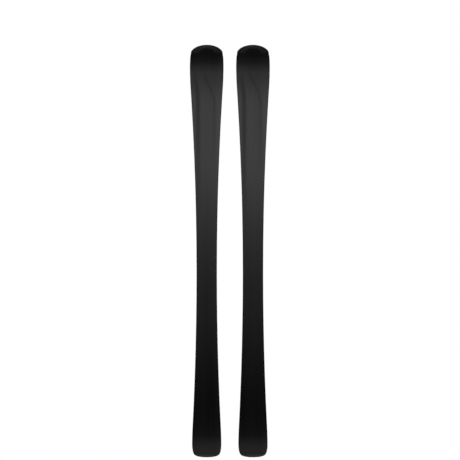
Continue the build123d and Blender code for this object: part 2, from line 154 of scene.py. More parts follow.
# fine moulded grain
grain, takes, gives = new_effect(
    "moulded grain", [("Vector", VEC, None), ("Scale", NUM, 1800.0)], [("Height", NUM), ("Shade", NUM)]
)
pits = node(grain, "ShaderNodeTexVoronoi", {"Vector": takes["Vector"], "Scale": takes["Scale"]}, feature="SMOOTH_F1")
cloud = noise(grain, takes["Vector"], 45.0, 4.0)
grain.links.new(pits.outputs["Distance"], gives["Height"])
grain.links.new(cloud, gives["Shade"])

# long scratches that run with the ski
scratches, takes, gives = new_effect(
    "long scratches",
    [("Vector", VEC, None), ("Across", NUM, 900.0), ("Along", NUM, 7.0), ("Amount", NUM, 0.5)],
    [("Mask", NUM)],
)
sized = node(scratches, "ShaderNodeCombineXYZ", {0: takes["Across"], 1: takes["Along"], 2: takes["Across"]}).outputs[0]
drawn = node(scratches, "ShaderNodeVectorMath", {0: takes["Vector"], 1: sized}, operation="MULTIPLY").outputs[0]
lines = noise(scratches, drawn, 1.0, 3.0)
where = noise(scratches, takes["Vector"], 9.0, 2.0)
thin_lines = times(scratches, spread(scratches, lines, 0.64, 0.72), spread(scratches, where, 0.4, 0.65))
scratches.links.new(times(scratches, thin_lines, takes["Amount"]), gives["Mask"])

# dust and handling marks
dust, takes, gives = new_effect(
    "dust", [("Vector", VEC, None), ("Scale", NUM, 14.0), ("Amount", NUM, 0.3)], [("Mask", NUM)]
)
haze = noise(dust, takes["Vector"], takes["Scale"], 7.0, Roughness=0.65)
dust.links.new(times(dust, spread(dust, haze, 0.4, 0.75), takes["Amount"]), gives["Mask"])


def effect(tree, group, **sockets):
    made = node(tree, "ShaderNodeGroup")
    made.node_tree = group
    for key, value in sockets.items():
        feed(tree, made.inputs[key], value)
    return made.outputs


def blank_finish(name):
    mat = bpy.data.materials.new(name)
    mat.use_nodes = True
    tree = mat.node_tree
    place = node(tree, "ShaderNodeTexCoord").outputs["Object"]
    return mat, tree, tree.nodes["Principled BSDF"], place


def shade(level, tint=(1.0, 1.0, 1.03)):
    return (level * tint[0], level * tint[1], level * tint[2], 1.0)


def set_surface(tree, surface, colour, rough, height, depth, normal):
    """Feeds colour, roughness and bump into the shader."""
    tree.links.new(colour, surface.inputs["Base Color"])
    tree.links.new(rough, surface.inputs["Roughness"])
    bump = node(tree, "ShaderNodeBump", {"Height": height, "Normal": normal, "Distance": depth, "Strength": 1.0})
    tree.links.new(bump.outputs["Normal"], surface.inputs["Normal"])


def moulded(name, level, tint=(1, 1, 1.03), gloss=0.45, scale=1800.0, depth=0.00003, wear=0.5, soft=0.0007, painted_rim_shade=None):
    """Injection-moulded plastic: pitted grain, rubbed edges, light dust; with a rim level the edges are painted darker
    instead, a painted shade.
    """
    mat, tree, surface, place = blank_finish(name)
    edges = effect(tree, soft_edges, Radius=soft)
    pit = effect(tree, grain, Vector=place, Scale=scale)
    rubbed = effect(tree, rub, Vector=place, Edge=edges["Edge"], Amount=wear)["Mask"]
    dusty = effect(tree, dust, Vector=place, Amount=0.3)["Mask"]
    base = blend_colour(tree, pit["Shade"], shade(level * 0.8, tint), shade(level * 1.2, tint))
    if painted_rim_shade is None:
        base = blend_colour(tree, rubbed, base, shade(min(level * 2.6 + 0.05, 0.8), tint))
    else:
        # painted shade: the edges are darkened to the rim level, standing in for shade on them
        base = blend_colour(tree, edges["Edge"], base, shade(painted_rim_shade, tint))
    base = blend_colour(tree, times(tree, dusty, 0.25), base, shade(0.25, (1, 1, 1)))
    rough = spread(tree, plus(tree, pit["Shade"], dusty), 0.2, 1.1, gloss - 0.08, gloss + 0.16)
    set_surface(tree, surface, base, rough, pit["Height"], depth, edges["Normal"])
    surface.inputs["Specular IOR Level"].default_value = 0.5
    if painted_rim_shade is not None:
        surface.inputs["Specular IOR Level"].default_value = 0.1
        surface.inputs["Coat Roughness"].default_value = 0.4
        inside = minus(tree, 1.0, edges["Edge"])
        tree.links.new(times(tree, inside, 1.1, clamp=True), surface.inputs["Coat Weight"])
    return mat


def metal(name, level, tint=(1, 1, 1.01), gloss=0.3, along=(900.0, 7.0), depth=0.00001, wear=0.5, soft=0.0004):
    """Ground or turned metal with fine tool lines."""
    mat, tree, surface, place = blank_finish(name)
    edges = effect(tree, soft_edges, Radius=soft)
    lines_mask = effect(tree, scratches, Vector=place, Across=along[0], Along=along[1], Amount=1.0)["Mask"]
    rubbed = effect(tree, rub, Vector=place, Edge=edges["Edge"], Amount=wear)["Mask"]
    dusty = effect(tree, dust, Vector=place, Amount=0.5)["Mask"]
    base = blend_colour(tree, lines_mask, shade(level, tint), shade(level * 0.7, tint))
    base = blend_colour(tree, rubbed, base, shade(min(level * 1.6, 0.9), tint))
    rough = spread(tree, plus(tree, lines_mask, dusty), 0.0, 1.4, gloss - 0.06, gloss + 0.25)
    set_surface(tree, surface, base, rough, lines_mask, depth, edges["Normal"])
    surface.inputs["Metallic"].default_value = 1.0
    return mat


def painted(name, level, tint=(1, 1, 1.03), gloss=0.35):
    """Coated housing: slight orange peel, rubbed edges, clear coat."""
    mat, tree, surface, place = blank_finish(name)
    edges = effect(tree, soft_edges, Radius=0.0012)
    peel = noise(tree, place, 700.0, 2.0)
    rubbed = effect(tree, rub, Vector=place, Edge=edges["Edge"], Scale=90.0, Amount=0.55)["Mask"]
    dusty = effect(tree, dust, Vector=place, Amount=0.35)["Mask"]
    marks = effect(tree, scratches, Vector=place, Across=500.0, Along=25.0, Amount=0.6)["Mask"]
    base = blend_colour(tree, peel, shade(level * 0.92, tint), shade(level * 1.08, tint))
    base = blend_colour(tree, rubbed, base, shade(min(level * 2.2 + 0.06, 0.7), tint))
    base = blend_colour(tree, times(tree, marks, 0.3), base, shade(level * 2.0 + 0.05, tint))
    rough = spread(tree, plus(tree, dusty, marks), 0.0, 1.0, gloss, gloss + 0.25)
    set_surface(tree, surface, base, rough, peel, 0.00002, edges["Normal"])
    surface.inputs["Coat Weight"].default_value = 0.35
    surface.inputs["Coat Roughness"].default_value = 0.12
    return mat


# ------------------------------------------------------------------ the ski's own finishes
def across_ski(tree, place):
    """Distance across the ski from its own centre line, and along the pair."""
    where = node(tree, "ShaderNodeSeparateXYZ", {0: place}).outputs
    own_side = times(tree, math_node(tree, "SIGN", where[0]), SKIS["right"])
    return minus(tree, where[0], own_side), where[1]


def band(tree, value, centre, half):
    """1 on a centre line, fading to 0 at half a width away."""
    off = math_node(tree, "ABSOLUTE", minus(tree, value, centre))
    sockets = {"Value": off, "From Min": half, "From Max": 0.0}
    return node(tree, "ShaderNodeMapRange", sockets, interpolation_type="SMOOTHSTEP").outputs["Result"]


def wax_coat(tree, place, wax):
    """Polished wax: a long bright field between two duller, curved streaks, as brushing leaves it."""
    # metres: across is from the ski's centre line, along is from the middle of the pair
    across, along = across_ski(tree, place)
    turn_in = node(
        tree, "ShaderNodeMapRange", {"Value": along, "From Min": 0.56, "From Max": 0.72, "To Min": 0.0, "To Max": 1.0},
        interpolation_type="SMOOTHERSTEP",
    ).outputs["Result"]
    inner_line = plus(tree, times(tree, turn_in, 0.044), -0.029)
    outer_line = plus(tree, times(tree, turn_in, 0.012), 0.034)
    inner_from = spread(tree, along, 0.30, 0.58)
    inner_to = spread(tree, along, 0.715, 0.66)
    outer_from = spread(tree, along, 0.05, 0.45)
    outer_to = spread(tree, along, 0.70, 0.62)
    inner = times(tree, band(tree, across, inner_line, 0.011), times(tree, inner_from, inner_to))
    outer = times(tree, band(tree, across, outer_line, 0.015), times(tree, outer_from, outer_to))
    far_side = times(tree, spread(tree, across, -0.034, -0.05), spread(tree, along, 0.62, 0.5))
    weight = plus(tree, 0.46, times(tree, minus(tree, wax, 0.5), 0.25))
    weight = minus(tree, weight, times(tree, inner, 0.2))
    weight = minus(tree, weight, times(tree, outer, 0.4))
    return plus(tree, weight, times(tree, far_side, 0.16), clamp=True)


def running_base_finish():
    """Sintered black base: stone-ground lines, wax streaks, and a fine bright line painted where it meets the edges, a
    painted highlight.
    """
    mat, tree, surface, place = blank_finish("running base")
    edges = effect(tree, soft_edges, Radius=0.0016)
    ground = stretched(tree, place, 2200, 14, 1)
    ground_lines = noise(tree, ground, 1.0, 2.0)
    cross = stretched(tree, place, 1500, 9, 1, turn=0.06)
    cross_lines = noise(tree, cross, 1.0, 1.0)
    structure = plus(tree, ground_lines, times(tree, cross_lines, 0.6))
    streak = stretched(tree, place, 26, 1.1, 1)
    wax = noise(tree, streak, 1.0, 3.0, Roughness=0.55)
    marks = effect(tree, scratches, Vector=place, Across=650.0, Along=4.0, Amount=0.8)["Mask"]
    dusty = effect(tree, dust, Vector=place, Scale=9.0, Amount=0.4)["Mask"]
    base = blend_colour(tree, spread(tree, wax, 0.35, 0.65), shade(0.0035, (1, 1, 1)), shade(0.0075, (1, 1, 1.02)))
    base = blend_colour(tree, times(tree, marks, 0.5), base, shade(0.03, (1, 1, 1)))
    # painted highlight: every edge of the base is painted pale, as if it caught the light
    base = blend_colour(tree, times(tree, edges["Edge"], 0.8), base, shade(0.035, (1, 1, 1)))
    wave = plus(tree, times(tree, wax, 0.8), times(tree, dusty, 0.4))
    rough = spread(tree, wave, 0.2, 0.8, 0.2, 0.3)
    set_surface(tree, surface, base, rough, structure, 0.0000012, edges["Normal"])
    surface.inputs["IOR"].default_value = 1.5
    surface.inputs["Specular IOR Level"].default_value = 0.25
    surface.inputs["Coat Roughness"].default_value = 0.22
    tree.links.new(wax_coat(tree, place, wax), surface.inputs["Coat Weight"])
    return mat


def diagonal_threads(tree, vector):
    sockets = {"Vector": vector, "Scale": 260.0}
    return node(tree, "ShaderNodeTexWave", sockets, bands_direction="DIAGONAL").outputs["Fac"]


def top_sheet_finish():
    """Dark printed cover: faceted graphite fields, silver lines, pressed weave under a clear gloss."""
    mat, tree, surface, place = blank_finish("top sheet")
    edges = effect(tree, soft_edges, Radius=0.0012)
    where = node(tree, "ShaderNodeSeparateXYZ", {0: place}).outputs
    side = node(tree, "ShaderNodeMath", {0: where[0]}, operation="ABSOLUTE").outputs[0]
    middle = math_node(tree, "ABSOLUTE", minus(tree, side, SKIS["right"]))
    facet_space = stretched(tree, place, 13, 4.2, 1, turn=0.5)
    facets = node(tree, "ShaderNodeTexVoronoi", {"Vector": facet_space, "Scale": 1.0}, voronoi_dimensions="2D")
    facet_shade = node(tree, "ShaderNodeSeparateColor", {0: facets.outputs["Color"]}).outputs[0]
    fore = spread(tree, where[1], 0.12, 0.62)
    aft = spread(tree, where[1], -0.36, -0.7)
    decor = plus(tree, fore, aft, clamp=True)
    weave_x = diagonal_threads(tree, place)
    weave_y = diagonal_threads(tree, stretched(tree, place, 1, 1, 1, turn=radians(90)))
    weave = times(tree, weave_x, weave_y)
    marks = effect(tree, scratches, Vector=place, Across=420.0, Along=6.0, Amount=0.7)["Mask"]
    rubbed = effect(tree, rub, Vector=place, Edge=edges["Edge"], Scale=60.0, Amount=0.7)["Mask"]
    dusty = effect(tree, dust, Vector=place, Scale=11.0, Amount=0.4)["Mask"]
    dark = blend_colour(tree, weave, shade(0.008), shade(0.02))
    graphite = blend_colour(tree, facet_shade, shade(0.009), shade(0.07, (0.96, 1.0, 1.08)))
    base = blend_colour(tree, times(tree, decor, 0.9), dark, graphite)
    # a hairline runs down the middle of each ski
    hairline = spread(tree, middle, 0.0006, 0.0004)
    base = blend_colour(tree, times(tree, hairline, 0.85), base, shade(0.16))
    base = blend_colour(tree, times(tree, marks, 0.25), base, shade(0.25, (1, 1, 1)))
    base = blend_colour(tree, rubbed, base, shade(0.16, (1, 1, 1)))
    rough = spread(tree, plus(tree, dusty, marks), 0.0, 1.0, 0.24, 0.5)
    set_surface(tree, surface, base, rough, weave, 0.00001, edges["Normal"])
    surface.inputs["Specular IOR Level"].default_value = 0.3
    surface.inputs["Coat Weight"].default_value = 0.35
    surface.inputs["Coat Roughness"].default_value = 0.14
    return mat


def wood_finish():
    """Poplar and ash strips of the core; the ends past the sidewalls are sealed in black resin."""
    mat, tree, surface, place = blank_finish("wood core")
    edges = effect(tree, soft_edges, Radius=0.0005)
    rings = stretched(tree, place, 60, 2.5, 60)
    figure = noise(tree, rings, 1.0, 6.0)
    strips = node(tree, "ShaderNodeTexWave", {"Vector": place, "Scale": 24.0, "Distortion": 0.2}).outputs["Fac"]
    strip_mask = spread(tree, strips, 0.45, 0.55)
    light = blend_colour(tree, figure, (0.55, 0.38, 0.2, 1), (0.75, 0.58, 0.36, 1))
    deep = blend_colour(tree, figure, (0.32, 0.19, 0.09, 1), (0.5, 0.33, 0.17, 1))
    rough = spread(tree, figure, 0.2, 0.8, 0.5, 0.75)
    timber = blend_colour(tree, strip_mask, light, deep)
    along = node(tree, "ShaderNodeSeparateXYZ", {0: place}).outputs[1]
    front, rear, blur = 0.635, -0.735, 0.001  # where the sidewalls end, and how sharply
    fore_end = spread(tree, along, front - blur, front + blur)
    tail_end = spread(tree, along, rear + blur, rear - blur)
    sealed = plus(tree, fore_end, tail_end, clamp=True)
    resin = blend_colour(tree, figure, shade(0.012), shade(0.022))
    set_surface(tree, surface, blend_colour(tree, sealed, timber, resin), rough, figure, 0.0001, edges["Normal"])
    return mat


finishes = {
    "base": running_base_finish(),
    "edge": metal("edge steel", 0.035, gloss=0.34, wear=0.9),
    "laminate": metal("alloy sheet", 0.5, gloss=0.35),
    "wood": wood_finish(),
    "sidewall": moulded("sidewall", 0.018, gloss=0.42, scale=900.0),
    "topsheet": top_sheet_finish(),
    # the tip piece's edges are painted darker, a painted shade on its rim
    "tip": moulded("tip piece", 0.006, tint=(1, 1, 1.02), gloss=0.5, scale=1200.0, soft=0.004, painted_rim_shade=0.001),
    "tail": metal("tail piece", 0.08, gloss=0.38),
    "rail": moulded("rail plate", 0.02, gloss=0.42),
    "screw": metal("screw steel", 0.26, gloss=0.36, along=(300.0, 300.0)),
    "toe_plate": moulded("toe plate", 0.022, gloss=0.4),
    "toe_body": painted("toe housing", 0.018),
    "wing": moulded("toe wing", 0.03, gloss=0.5, depth=0.00005),
    "pin": metal("pin steel", 0.55, gloss=0.2, along=(400.0, 400.0)),
    "spring": metal("spring steel", 0.4, gloss=0.35),
    "adjuster": moulded("setting screw", 0.3, gloss=0.35),
    "afd": moulded("sliding plate", 0.28, tint=(1, 1, 1), gloss=0.25, scale=600.0),
    "heel_plate": moulded("heel base", 0.022, gloss=0.42),
    "catch": moulded("rail catch", 0.24, gloss=0.4),
    "heel_body": painted("heel housing", 0.018),
    "lever": moulded("heel lever", 0.035, gloss=0.42, depth=0.00004),
    "pedal": moulded("brake pedal", 0.03, gloss=0.5, depth=0.00006),
    "wire": metal("brake wire", 0.24, gloss=0.36),
    "foot": moulded("brake foot", 0.02, gloss=0.48, depth=0.00005),
}
accent = moulded("silver trim", 0.42, tint=(1, 1, 1.02), gloss=0.3, scale=2600.0, wear=0.2)
rubber = moulded("rubber pad", 0.012, tint=(1, 1, 1), gloss=0.66, scale=1100.0, depth=0.00008, wear=0.2)
window = painted("setting window", 0.32, tint=(1, 0.98, 0.9), gloss=0.14)
ptfe = moulded("low-friction strip", 0.55, tint=(1, 1, 0.98), gloss=0.22, scale=2400.0, depth=0.00001, wear=0.1)
dark_mark = moulded("dark marks", 0.02, gloss=0.4, wear=0.1)
pale_mark = moulded("pale marks", 0.6, tint=(1, 1, 1), gloss=0.4, wear=0.1)

slot_of = {row["node"]: row["material_slot"] for row in frame["record"]["subparts"]}
for name, piece in frame["nodes"].items():
    finish = finishes[slot_of[name]]
    if not piece.material_slots:
        piece.data.materials.append(finish)
    for holder in piece.material_slots:
        holder.material = finish


# ------------------------------------------------------------------ shaping helpers
# New pieces are shaped on the left ski and copied to the right one. Their places are in millimetres, x from the
# ski's own centre line.
HERE = SKIS["left"]
SIDES = ((1, "right"), (-1, "left"))


def block(name, low, high):
    """A box between two corners, ready to be shaped."""
    bpy.ops.object.select_all(action="DESELECT")
    middle = [(a + b) / 2000 for a, b in zip(low, high)]
    size = [(b - a) / 1000 for a, b in zip(low, high)]
    bpy.ops.mesh.primitive_cube_add(size=1, location=(middle[0] + HERE, middle[1], middle[2]), scale=size)
    made = bpy.context.object
    made.name = name
    bpy.ops.object.transform_apply(location=True, rotation=True, scale=True)
    return made


def disc(name, centre, radius, depth, turn=(0, 0, 0), sides=32):
    """A short round bar about a centre."""
    bpy.ops.object.select_all(action="DESELECT")
    place = (centre[0] / 1000 + HERE, centre[1] / 1000, centre[2] / 1000)
    bpy.ops.mesh.primitive_cylinder_add(
        vertices=sides, radius=radius / 1000, depth=depth / 1000, location=place, rotation=turn
    )
    made = bpy.context.object
    made.name = name
    bpy.ops.object.transform_apply(location=True, rotation=True, scale=True)
    return made


def edit(piece, kind="FACE"):
    bpy.context.view_layer.objects.active = piece
    if piece.mode != "EDIT":
        bpy.ops.object.mode_set(mode="EDIT")
    bpy.ops.mesh.select_mode(type=kind)
    bpy.ops.mesh.select_all(action="DESELECT")
    return bmesh.from_edit_mesh(piece.data)


def pick(piece, wanted, kind="FACE"):
    """Selects the faces or corners that pass a test of x, y, z and normal."""
    mesh = edit(piece, kind)
    found = 0
    for each in mesh.faces if kind == "FACE" else mesh.verts:
        at = each.calc_center_median() if kind == "FACE" else each.co
        if wanted((at.x - HERE) * 1000, at.y * 1000, at.z * 1000, each.normal):
            each.select_set(True)
            found += 1
    mesh.select_flush_mode()
    bmesh.update_edit_mesh(piece.data)
    return found


def shift(x=0.0, z=0.0):
    bpy.ops.transform.translate(value=(x / 1000, 0, z / 1000))


def cut(piece, axis, places):
    """Cuts rings into a piece, square to an axis."""
    edit(piece)
    for place in places:
        bpy.ops.mesh.select_all(action="SELECT")
        point, square = [HERE, 0, 0], [0, 0, 0]
        point[axis] += place / 1000
        square[axis] = 1
        bpy.ops.mesh.bisect(plane_co=point, plane_no=square)


def fit_rings(name, rows, roof=1.0):
    """A block cut at each row (y, left, right, low, high), each ring moved to its limits; roof narrows the top."""
    first, last = rows[0], rows[-1]
    left, right, low, high = first[1:]
    piece = block(name, (left, first[0], low), (right, last[0], high))
    cut(piece, 1, [row[0] for row in rows[1:-1]])
    for y, *limits in rows:
        for axis, start, end in zip((0, 0, 2, 2), (left, right, low, high), limits):
            if axis == 0:
                test = lambda px, py, pz, n: abs(py - y) < 0.05 and (px - start) ** 2 < 0.01
            else:
                test = lambda px, py, pz, n: abs(py - y) < 0.05 and (pz - start) ** 2 < 0.01
            if abs(end - start) > 0.001:
                pick(piece, test, "VERT")
                shift(**{"xz"[axis // 2]: end - start})
        if roof != 1.0:
            share = (limits[2] + limits[3]) / 2
            pick(piece, lambda px, py, pz, n: abs(py - y) < 0.05 and pz > share, "VERT")
            centre = (HERE + (limits[0] + limits[1]) / 2000, y / 1000, limits[3] / 1000)
            bpy.ops.transform.resize(value=(roof, 1, 1), center_override=centre)
    return piece


def sink(piece, wanted, border, depth):
    """Insets the chosen faces and pushes them in (or out, when depth is above 0)."""
    if pick(piece, wanted):
        bpy.ops.mesh.inset(thickness=border / 1000, depth=depth / 1000, use_boundary=True)


def raise_faces(piece, wanted, up):
    if pick(piece, wanted):
        bpy.ops.mesh.extrude_region_move(TRANSFORM_OT_translate={"value": (0, 0, up / 1000)})


def modify(piece, kind, **settings):
    if piece.mode == "EDIT":
        bpy.ops.object.mode_set(mode="OBJECT")
    bpy.context.view_layer.objects.active = piece
    made = piece.modifiers.new(kind.lower(), kind)
    for key, value in settings.items():
        setattr(made, key, value)
    bpy.ops.object.modifier_apply(modifier=made.name)


def only(piece):
    if bpy.context.object and bpy.context.object.mode == "EDIT":
        bpy.ops.object.mode_set(mode="OBJECT")
    bpy.ops.object.select_all(action="DESELECT")
    piece.select_set(True)
    bpy.context.view_layer.objects.active = piece


def flip_over():
    """Mirrors the piece in hand about the ski's centre line."""
    bpy.ops.mesh.select_all(action="SELECT")
    bpy.ops.transform.resize(value=(-1, 1, 1), center_override=(HERE, 0, 0))
    bpy.ops.mesh.normals_make_consistent(inside=False)


def copied(piece, name, across=0.0, flip=False):
    """A copy with its own mesh, moved across the ski or mirrored about its centre line."""
    only(piece)
    bpy.ops.object.duplicate(linked=False)
    made = bpy.context.object
    made.name = name
    bpy.ops.object.mode_set(mode="EDIT")
    bpy.ops.mesh.select_all(action="SELECT")
    if flip:
        flip_over()
    if across:
        bpy.ops.transform.translate(value=(across, 0, 0))
    bpy.ops.object.mode_set(mode="OBJECT")
    return made


def finish_piece(piece, finish, body, bevel=0.6, segments=3):
    """Rounds the edges, gives the finish, and makes the same piece for the other ski."""
    edit(piece)
    bpy.ops.mesh.select_all(action="SELECT")
    bpy.ops.mesh.remove_doubles(threshold=0.000001)
    bpy.ops.mesh.normals_make_consistent(inside=False)
    bpy.ops.object.mode_set(mode="OBJECT")
    if bevel:
        modify(
            piece, "BEVEL", width=bevel / 1000, segments=segments, limit_method="ANGLE", angle_limit=radians(30),
        )
    only(piece)
    bpy.ops.object.shade_smooth_by_angle(angle=radians(40))
    piece.data.materials.clear()
    piece.data.materials.append(finish)
    own_name = piece.name
    piece.name = "left_" + own_name
    twin = copied(piece, "right_" + own_name, across=PAIR)
    for made, side in ((piece, "left_"), (twin, "right_")):
        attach(made, side + body)


def repeat(piece, count, along, rise=0.0):
    """Repeats a mark along the ski, inside one piece."""
    modify(
        piece, "ARRAY", count=count, use_relative_offset=False, use_constant_offset=True,
        constant_offset_displace=(0, along / 1000, rise / 1000),
    )


def ridged(name, start, step, count, half, levels, up, steep=0.9):
    """A strip with every other step of its top raised; levels gives its low and high side at a place along it."""
    places = [start + step * i for i in range(count)]
    made = fit_rings(name, [(y, -half, half, *levels(y)) for y in places])
    raise_faces(made, lambda x, y, z, n: n.z > steep and int((y - start) / step) % 2 == 0, up)
    return made


# ------------------------------------------------------------------ toe piece
toe_rows = [
    (96.5, -25.6, 25.6, 65.4, 73.2),
    (104.0, -27.2, 27.2, 65.4, 76.2),
    (121.4, -27.6, 27.6, 65.4, 77.6),
    (123.6, -27.4, 27.4, 50.0, 77.6),
    (131.0, -26.4, 26.4, 46.0, 77.0),
    (140.0, -25.0, 25.0, 45.0, 76.0),
    (150.0, -23.4, 23.4, 46.0, 74.2),
    (160.0, -21.6, 21.6, 50.0, 69.6),
    (168.0, -20.2, 20.2, 56.0, 64.0),
    (172.6, -18.8, 18.8, 57.6, 61.0),
]
toe_cover = fit_rings("toe_cover", toe_rows, roof=0.8)
sink(toe_cover, lambda x, y, z, n: n.z > 0.6 and 123.6 < y < 150, 3.2, -1.4)
sink(toe_cover, lambda x, y, z, n: n.z > 0.6 and 104 < y < 121.4, 2.4, -0.8)
sink(toe_cover, lambda x, y, z, n: abs(n.x) > 0.8 and 123.6 < y < 160, 2.2, -1.0)
finish_piece(toe_cover, finishes["toe_body"], "ski", bevel=1.0, segments=4)

toe_window = fit_rings("toe_window", [
    (126.0, -7.0, 7.0, 75.4, 77.0), (137.0, -7.4, 7.4, 74.4, 75.7), (148.0, -7.0, 7.0, 72.8, 74.4),
], roof=0.86)
finish_piece(toe_window, window, "ski", bevel=0.5)

toe_mark = fit_rings("toe_setting_marks", [(129.0, -5.0, 5.0, 76.2, 76.78), (129.7, -5.0, 5.0, 76.1, 76.7)])
repeat(toe_mark, 6, along=3.0, rise=-0.355)
finish_piece(toe_mark, dark_mark, "ski", bevel=0.08, segments=1)

# ribs along the outside of each wing, where a thumb turns it
for number, level in enumerate((47.0, 51.0, 55.0)):
    outer = [(74.6, 36.7), (81.0, 37.1), (88.0, 36.8), (94.6, 35.2), (101.0, 33.4), (107.0, 28.6)]
    rib = fit_rings(f"wing_rib_right_{number + 1}", [(y, x - 1.0, x + 0.9, level, level + 1.7) for y, x in outer])
    twin_rib = copied(rib, f"wing_rib_left_{number + 1}", flip=True)
    finish_piece(rib, finishes["wing"], "toe_wing_right", bevel=0.45, segments=2)
    finish_piece(twin_rib, finishes["wing"], "toe_wing_left", bevel=0.45, segments=2)
for side, word in SIDES:
    nut = disc(f"wing_cap_{word}", (side * 17, 106, 65.0), 6.4, 1.2, sides=36)
    sink(nut, lambda x, y, z, n: n.z > 0.9, 1.6, -0.5)
    finish_piece(nut, finishes["pin"], f"toe_wing_{word}", bevel=0.25, segments=2)

# low-friction strip, grooved the way it slides
strip = ridged("sliding_strip", 49.0, 3, 11, half=25.0, levels=lambda y: (37.2, 38.05), up=0.3)
finish_piece(strip, ptfe, "afd", bevel=0.2, segments=2)

# ------------------------------------------------------------------ heel piece
heel_rows = [
    (-299.4, -23.4, 23.4, 92.0, 101.6),
    (-293.0, -25.0, 25.0, 90.0, 106.2),
    (-279.0, -25.6, 25.6, 89.0, 105.0),
    (-264.0, -25.8, 25.8, 88.0, 102.8),
    (-255.0, -26.2, 26.2, 84.0, 101.0),
    (-250.0, -28.2, 28.2, 74.0, 99.8),
    (-238.0, -28.6, 28.6, 68.0, 96.6),
    (-224.0, -28.4, 28.4, 66.0, 91.0),
    (-214.0, -27.6, 27.6, 68.0, 85.2),
    (-206.6, -26.4, 26.4, 71.0, 77.6),
]
heel_cover = fit_rings("heel_cover", heel_rows, roof=0.82)
sink(heel_cover, lambda x, y, z, n: n.z > 0.6 and -293 < y < -256, 3.2, -1.2)
sink(heel_cover, lambda x, y, z, n: n.z > 0.5 and -250 < y < -214, 3.4, -1.4)
sink(heel_cover, lambda x, y, z, n: abs(n.x) > 0.8 and -250 < y < -214, 2.4, -1.0)
finish_piece(heel_cover, finishes["heel_body"], "heel", bevel=1.0, segments=4)

heel_window = fit_rings("heel_window", [
    (-290.0, -7.0, 7.0, 103.6, 105.6), (-274.5, -7.4, 7.4, 102.0, 103.5), (-259.0, -7.0, 7.0, 99.8, 101.4),
], roof=0.86)
finish_piece(heel_window, window, "heel", bevel=0.5)
heel_mark = fit_rings("heel_setting_marks", [(-286.0, -5.0, 5.0, 104.6, 105.2), (-285.3, -5.0, 5.0, 104.5, 105.11)])
repeat(heel_mark, 7, along=3.8, rise=-0.515)
finish_piece(heel_mark, dark_mark, "heel", bevel=0.08, segments=1)

# grip on the lever, following its slope
def lever_top(y):
    return 112.0 + (-300.0 - y) * 18 / 42


grip = ridged(
    "lever_grip", -329.0, 1.9, 11, half=24.0, levels=lambda y: (lever_top(y) - 0.6, lever_top(y) + 0.8),
    up=1.1, steep=0.8,
)
finish_piece(grip, rubber, "heel_lever", bevel=0.3, segments=2)
plate_rows = [
    (-338.0, 29.0, 30.2, 118.0, 124.5), (-320.0, 29.0, 30.4, 107.6, 116.8), (-300.0, 29.0, 30.4, 99.4, 108.4),
    (-278.0, 29.0, 30.2, 92.4, 101.4),
]
for side, word in SIDES:
    plate = fit_rings(f"lever_side_{word}", plate_rows)
    if side < 0:
        edit(plate)
        flip_over()
    finish_piece(plate, accent, "heel_lever", bevel=0.5)
    boss = disc(f"lever_boss_{word}", (side * 30.0, -268, 94), 6.6, 1.6, turn=(0, pi / 2, 0), sides=36)
    sink(boss, lambda x, y, z, n: abs(n.x) > 0.9 and abs(x) > 30.2, 1.8, -0.6)
    finish_piece(boss, finishes["pin"], "heel_lever", bevel=0.25, segments=2)

# ribbed pad of the brake pedal
pad = ridged("pedal_pad", -188.0, 3.2, 16, half=21.0, levels=lambda y: (36.8, 37.9), up=0.4)
finish_piece(pad, rubber, "brake", bevel=0.3, segments=2)

# ------------------------------------------------------------------ heel base, catch and brake feet
rib_tops = ((-309.0, 31.2), (-306.0, 32.0), (-276.0, 32.0), (-273.0, 31.2))
for side, word in SIDES:
    for number, across in enumerate((14.0, 17.5, 21.0)):
        rib_rows = [(y, side * across - 0.8, side * across + 0.8, 30.6, top) for y, top in rib_tops]
        rib = fit_rings(f"heel_base_rib_{word}_{number + 1}", rib_rows)
        finish_piece(rib, finishes["heel_plate"], "heel_base", bevel=0.35, segments=2)
    for number, at in enumerate((-304.0, -222.0)):
        head = disc(f"heel_base_screw_{word}_{number + 1}", (side * 25.6, at, 31.4), 2.9, 1.2, sides=24)
        sink(head, lambda x, y, z, n: n.z > 0.9, 0.9, -0.6)
        finish_piece(head, finishes["screw"], "heel_base", bevel=0.2, segments=2)
    rivet = disc(f"foot_rivet_{word}", (side * 39.7, -283.97, 66.7), 3.4, 1.0, turn=(0, pi / 2, 0), sides=24)
    sink(rivet, lambda x, y, z, n: abs(n.x) > 0.9 and abs(x) > 39.9, 1.1, -0.4)
    finish_piece(rivet, finishes["pin"], f"brake_{word}", bevel=0.2, segments=2)


def catch_top(y):
    return 31.0 + (-316.0 - y) * 3 / 18


ridges = ridged(
    "catch_ridges", -333.0, 1.6, 10, half=8.4, levels=lambda y: (catch_top(y) - 0.6, catch_top(y) + 0.2),
    up=0.7, steep=0.8,
)
finish_piece(ridges, finishes["catch"], "track_catch", bevel=0.25, segments=2)

# ------------------------------------------------------------------ rail and ski
mark = fit_rings("rail_scale", [(-142.0, 18.2, 22.0, 24.7, 25.12), (-141.2, 18.2, 22.0, 24.7, 25.12)])
repeat(mark, 15, along=10.0)
long_mark = fit_rings("rail_scale_side", [(-143.0, 22.6, 23.0, 24.7, 25.1), (0.0, 22.6, 23.0, 24.7, 25.1)])
other_mark = copied(mark, "rail_scale_left", flip=True)
for printed in (mark, other_mark, long_mark):
    finish_piece(printed, pale_mark, "ski", bevel=0)


